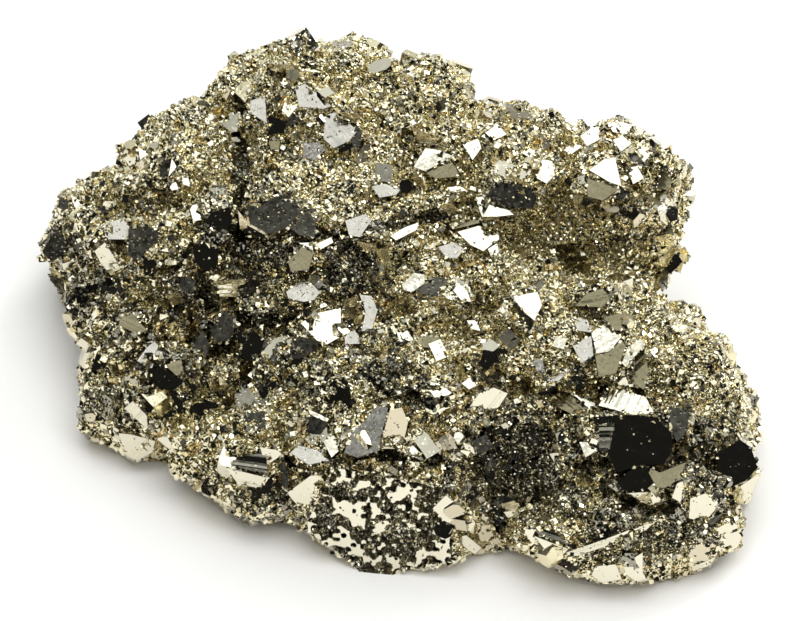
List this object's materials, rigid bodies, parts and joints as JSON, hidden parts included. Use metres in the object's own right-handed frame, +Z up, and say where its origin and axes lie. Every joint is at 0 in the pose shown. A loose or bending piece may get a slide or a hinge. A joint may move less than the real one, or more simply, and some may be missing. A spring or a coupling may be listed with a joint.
{
  "type": "pyrite crystal cluster",
  "caption": "Cluster of intergrown cubic and pyritohedral pyrite crystals with flat, striated and pitted faces, resting on a broken flat underside.",
  "frame": {"origin": "centre of the bounding box, on the plane of the broken underside", "axes": "+X along the longest extent, from the low tip to the large crystals; +Y from the large crystals at the front to the tall crest at the back; +Z up, away from the broken underside"},
  "size_m": [0.1098, 0.0914, 0.0445],
  "materials": {
    "pyrite": "pale brass-yellow metallic mineral, mirror-bright on crystal faces and granular between them"
  },
  "bodies": {
    "root": {"pyrite_cluster": "pyrite"}
  },
  "joints": []
}
